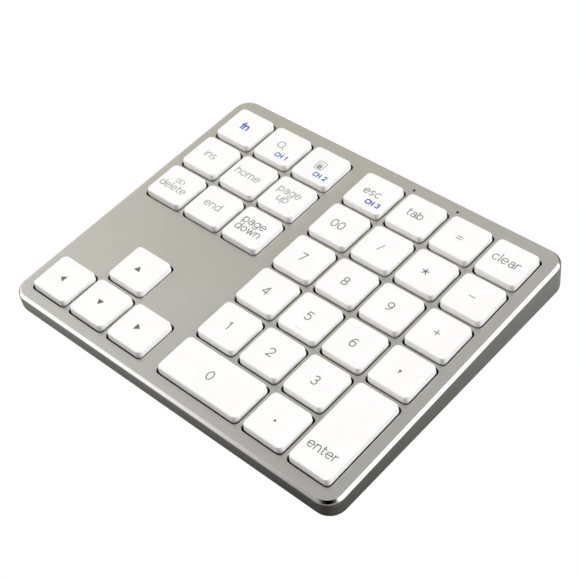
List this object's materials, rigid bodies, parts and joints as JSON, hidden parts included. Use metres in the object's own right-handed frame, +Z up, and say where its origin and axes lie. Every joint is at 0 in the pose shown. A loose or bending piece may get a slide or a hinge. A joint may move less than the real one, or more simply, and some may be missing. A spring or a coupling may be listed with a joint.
{
  "type": "numeric keypad",
  "caption": "Low desktop numeric keypad: sloping metal deck with separate sprung low-profile keys for navigation and number entry.",
  "frame": {"origin": "under the middle of the keypad, on the surface it stands on", "axes": "+X to the right along the key rows, +Y to the back edge, +Z up"},
  "size_m": [0.1476, 0.1236, 0.0169],
  "materials": {
    "anodised_metal": "satin anodised",
    "cap_plastic": "satin",
    "cover_plastic": "fine texture",
    "steel": "plain",
    "dark_steel": "blackened",
    "dome_rubber": "matt",
    "film_plastic": "film",
    "foot_rubber": "matt",
    "board": "solder mask",
    "battery_pouch": "foil pouch",
    "black_plastic": "satin",
    "clear_plastic": "clear, smoked",
    "tail_film": "film"
  },
  "bodies": {
    "case": {"top_case": "anodised_metal", "rubber_dome_sheet": "dome_rubber", "membrane_circuit": "film_plastic", "key_support_plate": "steel", "bottom_cover": "cover_plastic", "case_screw_1": "dark_steel", "case_screw_2": "dark_steel", "case_screw_3": "dark_steel", "case_screw_4": "dark_steel", "case_screw_5": "dark_steel", "case_screw_6": "dark_steel", "rubber_foot_back_left": "foot_rubber", "rubber_foot_back_right": "foot_rubber", "rubber_foot_front_left": "foot_rubber", "rubber_foot_front_right": "foot_rubber", "main_board": "board", "ribbon_tail": "tail_film", "battery_pack": "battery_pouch", "charging_socket": "steel", "power_switch_body": "steel", "light_pipe_left": "clear_plastic", "light_pipe_right": "clear_plastic"},
    "keycap_fn": {"keycap_fn": "cap_plastic"},
    "keycap_search": {"keycap_search": "cap_plastic"},
    "keycap_calculator": {"keycap_calculator": "cap_plastic"},
    "keycap_escape": {"keycap_escape": "cap_plastic"},
    "keycap_tab": {"keycap_tab": "cap_plastic"},
    "keycap_equals": {"keycap_equals": "cap_plastic"},
    "keycap_clear": {"keycap_clear": "cap_plastic"},
    "keycap_insert": {"keycap_insert": "cap_plastic"},
    "keycap_home": {"keycap_home": "cap_plastic"},
    "keycap_page_up": {"keycap_page_up": "cap_plastic"},
    "keycap_double_zero": {"keycap_double_zero": "cap_plastic"},
    "keycap_divide": {"keycap_divide": "cap_plastic"},
    "keycap_multiply": {"keycap_multiply": "cap_plastic"},
    "keycap_minus": {"keycap_minus": "cap_plastic"},
    "keycap_delete": {"keycap_delete": "cap_plastic"},
    "keycap_end": {"keycap_end": "cap_plastic"},
    "keycap_page_down": {"keycap_page_down": "cap_plastic"},
    "keycap_7": {"keycap_7": "cap_plastic"},
    "keycap_8": {"keycap_8": "cap_plastic"},
    "keycap_9": {"keycap_9": "cap_plastic"},
    "keycap_plus": {"keycap_plus": "cap_plastic"},
    "keycap_4": {"keycap_4": "cap_plastic"},
    "keycap_5": {"keycap_5": "cap_plastic"},
    "keycap_6": {"keycap_6": "cap_plastic"},
    "keycap_comma": {"keycap_comma": "cap_plastic"},
    "keycap_arrow_up": {"keycap_arrow_up": "cap_plastic"},
    "keycap_1": {"keycap_1": "cap_plastic"},
    "keycap_2": {"keycap_2": "cap_plastic"},
    "keycap_3": {"keycap_3": "cap_plastic"},
    "keycap_enter": {"keycap_enter": "cap_plastic"},
    "keycap_arrow_left": {"keycap_arrow_left": "cap_plastic"},
    "keycap_arrow_down": {"keycap_arrow_down": "cap_plastic"},
    "keycap_arrow_right": {"keycap_arrow_right": "cap_plastic"},
    "keycap_0": {"keycap_0": "cap_plastic"},
    "keycap_point": {"keycap_point": "cap_plastic"},
    "power_switch_knob": {"power_switch_knob": "black_plastic"},
    "stabiliser_wire_0": {"stabiliser_wire_0": "steel"},
    "stabiliser_wire_enter": {"stabiliser_wire_enter": "steel"}
  },
  "joints": [
    {"name": "power_switch_slide", "type": "slide", "parent": "case", "child": "power_switch_knob", "axis": [1, 0, 0], "range_m": [0, 0.002]},
    {"name": "key_0_press", "type": "slide", "parent": "case", "child": "keycap_0", "axis": [0, 0.0411, -0.9992], "range_m": [0, 0.002], "stiffness_N_per_m": 250, "springref_m": -0.0008},
    {"name": "key_enter_press", "type": "slide", "parent": "case", "child": "keycap_enter", "axis": [0, 0.0411, -0.9992], "range_m": [0, 0.002], "stiffness_N_per_m": 250, "springref_m": -0.0008},
    {"name": "key_5_press", "type": "slide", "parent": "case", "child": "keycap_5", "axis": [0, 0.0411, -0.9992], "range_m": [0, 0.002], "stiffness_N_per_m": 250, "springref_m": -0.0008},
    {"name": "key_7_press", "type": "slide", "parent": "case", "child": "keycap_7", "axis": [0, 0.0411, -0.9992], "range_m": [0, 0.002], "stiffness_N_per_m": 250, "springref_m": -0.0008},
    {"name": "key_fn_press", "type": "slide", "parent": "case", "child": "keycap_fn", "axis": [0, 0.0411, -0.9992], "range_m": [0, 0.002], "stiffness_N_per_m": 250, "springref_m": -0.0008},
    {"name": "key_search_press", "type": "slide", "parent": "case", "child": "keycap_search", "axis": [0, 0.0411, -0.9992], "range_m": [0, 0.002], "stiffness_N_per_m": 250, "springref_m": -0.0008},
    {"name": "key_calculator_press", "type": "slide", "parent": "case", "child": "keycap_calculator", "axis": [0, 0.0411, -0.9992], "range_m": [0, 0.002], "stiffness_N_per_m": 250, "springref_m": -0.0008},
    {"name": "key_escape_press", "type": "slide", "parent": "case", "child": "keycap_escape", "axis": [0, 0.0411, -0.9992], "range_m": [0, 0.002], "stiffness_N_per_m": 250, "springref_m": -0.0008},
    {"name": "key_tab_press", "type": "slide", "parent": "case", "child": "keycap_tab", "axis": [0, 0.0411, -0.9992], "range_m": [0, 0.002], "stiffness_N_per_m": 250, "springref_m": -0.0008},
    {"name": "key_equals_press", "type": "slide", "parent": "case", "child": "keycap_equals", "axis": [0, 0.0411, -0.9992], "range_m": [0, 0.002], "stiffness_N_per_m": 250, "springref_m": -0.0008},
    {"name": "key_clear_press", "type": "slide", "parent": "case", "child": "keycap_clear", "axis": [0, 0.0411, -0.9992], "range_m": [0, 0.002], "stiffness_N_per_m": 250, "springref_m": -0.0008},
    {"name": "key_insert_press", "type": "slide", "parent": "case", "child": "keycap_insert", "axis": [0, 0.0411, -0.9992], "range_m": [0, 0.002], "stiffness_N_per_m": 250, "springref_m": -0.0008},
    {"name": "key_home_press", "type": "slide", "parent": "case", "child": "keycap_home", "axis": [0, 0.0411, -0.9992], "range_m": [0, 0.002], "stiffness_N_per_m": 250, "springref_m": -0.0008},
    {"name": "key_page_up_press", "type": "slide", "parent": "case", "child": "keycap_page_up", "axis": [0, 0.0411, -0.9992], "range_m": [0, 0.002], "stiffness_N_per_m": 250, "springref_m": -0.0008},
    {"name": "key_double_zero_press", "type": "slide", "parent": "case", "child": "keycap_double_zero", "axis": [0, 0.0411, -0.9992], "range_m": [0, 0.002], "stiffness_N_per_m": 250, "springref_m": -0.0008},
    {"name": "key_divide_press", "type": "slide", "parent": "case", "child": "keycap_divide", "axis": [0, 0.0411, -0.9992], "range_m": [0, 0.002], "stiffness_N_per_m": 250, "springref_m": -0.0008},
    {"name": "key_multiply_press", "type": "slide", "parent": "case", "child": "keycap_multiply", "axis": [0, 0.0411, -0.9992], "range_m": [0, 0.002], "stiffness_N_per_m": 250, "springref_m": -0.0008},
    {"name": "key_minus_press", "type": "slide", "parent": "case", "child": "keycap_minus", "axis": [0, 0.0411, -0.9992], "range_m": [0, 0.002], "stiffness_N_per_m": 250, "springref_m": -0.0008},
    {"name": "key_delete_press", "type": "slide", "parent": "case", "child": "keycap_delete", "axis": [0, 0.0411, -0.9992], "range_m": [0, 0.002], "stiffness_N_per_m": 250, "springref_m": -0.0008},
    {"name": "key_end_press", "type": "slide", "parent": "case", "child": "keycap_end", "axis": [0, 0.0411, -0.9992], "range_m": [0, 0.002], "stiffness_N_per_m": 250, "springref_m": -0.0008},
    {"name": "key_page_down_press", "type": "slide", "parent": "case", "child": "keycap_page_down", "axis": [0, 0.0411, -0.9992], "range_m": [0, 0.002], "stiffness_N_per_m": 250, "springref_m": -0.0008},
    {"name": "key_8_press", "type": "slide", "parent": "case", "child": "keycap_8", "axis": [0, 0.0411, -0.9992], "range_m": [0, 0.002], "stiffness_N_per_m": 250, "springref_m": -0.0008},
    {"name": "key_9_press", "type": "slide", "parent": "case", "child": "keycap_9", "axis": [0, 0.0411, -0.9992], "range_m": [0, 0.002], "stiffness_N_per_m": 250, "springref_m": -0.0008},
    {"name": "key_plus_press", "type": "slide", "parent": "case", "child": "keycap_plus", "axis": [0, 0.0411, -0.9992], "range_m": [0, 0.002], "stiffness_N_per_m": 250, "springref_m": -0.0008},
    {"name": "key_4_press", "type": "slide", "parent": "case", "child": "keycap_4", "axis": [0, 0.0411, -0.9992], "range_m": [0, 0.002], "stiffness_N_per_m": 250, "springref_m": -0.0008},
    {"name": "key_6_press", "type": "slide", "parent": "case", "child": "keycap_6", "axis": [0, 0.0411, -0.9992], "range_m": [0, 0.002], "stiffness_N_per_m": 250, "springref_m": -0.0008},
    {"name": "key_comma_press", "type": "slide", "parent": "case", "child": "keycap_comma", "axis": [0, 0.0411, -0.9992], "range_m": [0, 0.002], "stiffness_N_per_m": 250, "springref_m": -0.0008},
    {"name": "key_arrow_up_press", "type": "slide", "parent": "case", "child": "keycap_arrow_up", "axis": [0, 0.0411, -0.9992], "range_m": [0, 0.002], "stiffness_N_per_m": 250, "springref_m": -0.0008},
    {"name": "key_1_press", "type": "slide", "parent": "case", "child": "keycap_1", "axis": [0, 0.0411, -0.9992], "range_m": [0, 0.002], "stiffness_N_per_m": 250, "springref_m": -0.0008},
    {"name": "key_2_press", "type": "slide", "parent": "case", "child": "keycap_2", "axis": [0, 0.0411, -0.9992], "range_m": [0, 0.002], "stiffness_N_per_m": 250, "springref_m": -0.0008},
    {"name": "key_3_press", "type": "slide", "parent": "case", "child": "keycap_3", "axis": [0, 0.0411, -0.9992], "range_m": [0, 0.002], "stiffness_N_per_m": 250, "springref_m": -0.0008},
    {"name": "key_arrow_left_press", "type": "slide", "parent": "case", "child": "keycap_arrow_left", "axis": [0, 0.0411, -0.9992], "range_m": [0, 0.002], "stiffness_N_per_m": 250, "springref_m": -0.0008},
    {"name": "key_arrow_down_press", "type": "slide", "parent": "case", "child": "keycap_arrow_down", "axis": [0, 0.0411, -0.9992], "range_m": [0, 0.002], "stiffness_N_per_m": 250, "springref_m": -0.0008},
    {"name": "key_arrow_right_press", "type": "slide", "parent": "case", "child": "keycap_arrow_right", "axis": [0, 0.0411, -0.9992], "range_m": [0, 0.002], "stiffness_N_per_m": 250, "springref_m": -0.0008},
    {"name": "key_point_press", "type": "slide", "parent": "case", "child": "keycap_point", "axis": [0, 0.0411, -0.9992], "range_m": [0, 0.002], "stiffness_N_per_m": 250, "springref_m": -0.0008},
    {"name": "stabiliser_0_turn", "type": "hinge", "parent": "case", "child": "stabiliser_wire_0", "pos_m": [0.01215, -0.04976, 0.00724], "axis": [-1, 0, 0], "range_deg": [0, 16.5]},
    {"name": "stabiliser_enter_turn", "type": "hinge", "parent": "case", "child": "stabiliser_wire_enter", "pos_m": [0.05765, -0.03842, 0.0077], "axis": [0, 0.9992, 0.0411], "range_deg": [0, 16.5]}
  ],
  "couplings": [
    {"joint": "stabiliser_0_turn", "follows": "key_0_press", "rad_per_m": 138},
    {"joint": "stabiliser_enter_turn", "follows": "key_enter_press", "rad_per_m": 138}
  ]
}
